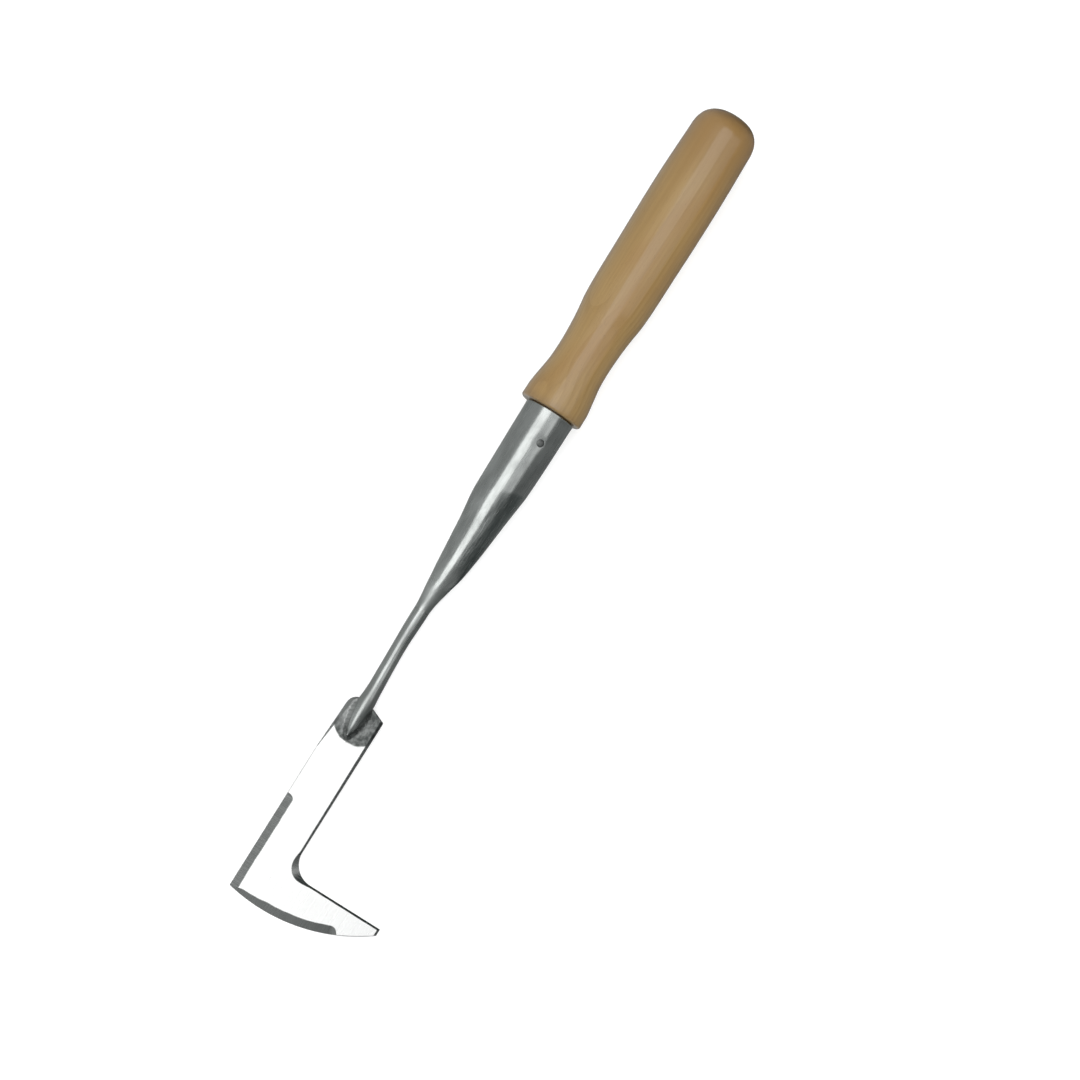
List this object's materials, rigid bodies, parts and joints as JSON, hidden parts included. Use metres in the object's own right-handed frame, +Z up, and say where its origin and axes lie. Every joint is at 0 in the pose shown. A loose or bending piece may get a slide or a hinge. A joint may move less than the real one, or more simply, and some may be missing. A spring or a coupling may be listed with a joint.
{
  "type": "hive tool",
  "caption": "Hand scraper: turned wooden handle, tapered steel socket, thin round shank and a flat L-shaped blade with ground outer edges.",
  "frame": {"origin": "middle of the outline, at the height of the surface the tool lies on", "axes": "+X along the tool from the blade toward the handle, -Y the side the blade's foot points to, +Z up; the tool lies at rest, so its own axis rises 2.76 degrees toward the handle"},
  "size_m": [0.355, 0.0636, 0.0319],
  "materials": {
    "turned_wood": "satin lacquer over fine straight grain",
    "drawn_steel": "bright, drawn lengthwise",
    "bar_steel": "bright bar, lightly polished",
    "pin_steel": "dull, sunk below the surface",
    "weld_steel": "rippled weld, dressed smooth",
    "ground_steel": "bright ground face, darker where it was welded",
    "scaled_steel": "weld bead with dark heat scale"
  },
  "bodies": {
    "root": {"handle": "turned_wood", "socket": "drawn_steel", "socket_pin": "pin_steel", "shank": "bar_steel", "socket_weld": "weld_steel", "blade": "ground_steel", "blade_weld": "scaled_steel"}
  },
  "joints": []
}
